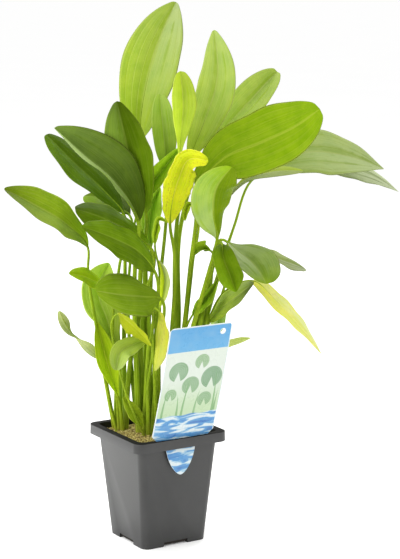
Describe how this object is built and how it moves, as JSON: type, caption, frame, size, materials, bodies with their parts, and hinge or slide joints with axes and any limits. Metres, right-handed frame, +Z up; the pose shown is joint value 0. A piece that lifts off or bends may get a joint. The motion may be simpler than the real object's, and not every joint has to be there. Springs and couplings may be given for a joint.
{
  "type": "potted echinodorus plant",
  "caption": "Leafy echinodorus with long-stalked oval leaves, growing in a square black nursery pot with a plain plant label in its rim.",
  "frame": {"origin": "middle of the flat underside of the pot", "axes": "+Z up; -Y out of the side of the pot that carries the label; +X to the right as one faces that side"},
  "size_m": [0.3949, 0.1881, 0.4716],
  "materials": {
    "pot_plastic": "black, slightly shiny, fine mould marks",
    "soil": "coarse brown peat with pale grains",
    "label_card": "thin printed plastic card, smooth",
    "leaf_pale": "pale green leaf, light shines through it",
    "leaf_bright": "bright green leaf, waxy",
    "leaf_mid": "green leaf, waxy",
    "leaf_dark": "dark green leaf, glossy",
    "leaf_lime": "yellow-green young leaf",
    "leaf_yellow": "yellow withered leaf"
  },
  "bodies": {
    "root": {"pot": "pot_plastic", "soil": "soil", "label": "label_card", "cut_stalk": "leaf_pale", "leaf_01": "leaf_pale", "leaf_02": "leaf_pale", "leaf_03": "leaf_lime", "leaf_04": "leaf_pale", "leaf_05": "leaf_pale", "leaf_06": "leaf_bright", "leaf_07": "leaf_pale", "leaf_08": "leaf_pale", "leaf_09": "leaf_pale", "leaf_10": "leaf_bright", "leaf_11": "leaf_yellow", "leaf_12": "leaf_dark", "leaf_13": "leaf_dark", "leaf_14": "leaf_dark", "leaf_15": "leaf_mid", "leaf_16": "leaf_dark", "leaf_17": "leaf_dark", "leaf_18": "leaf_mid", "leaf_19": "leaf_bright", "leaf_20": "leaf_lime", "leaf_21": "leaf_pale", "leaf_22": "leaf_bright", "leaf_23": "leaf_mid", "leaf_24": "leaf_pale", "leaf_25": "leaf_lime", "leaf_26": "leaf_yellow", "leaf_27": "leaf_mid", "leaf_28": "leaf_lime", "leaf_29": "leaf_mid", "leaf_30": "leaf_bright", "leaf_31": "leaf_pale", "leaf_32": "leaf_mid", "leaf_33": "leaf_mid", "leaf_34": "leaf_yellow", "leaf_35": "leaf_lime", "leaf_36": "leaf_lime", "leaf_37": "leaf_mid", "leaf_38": "leaf_mid", "leaf_39": "leaf_mid", "leaf_40": "leaf_lime", "leaf_41": "leaf_pale", "leaf_42": "leaf_mid"}
  },
  "joints": []
}
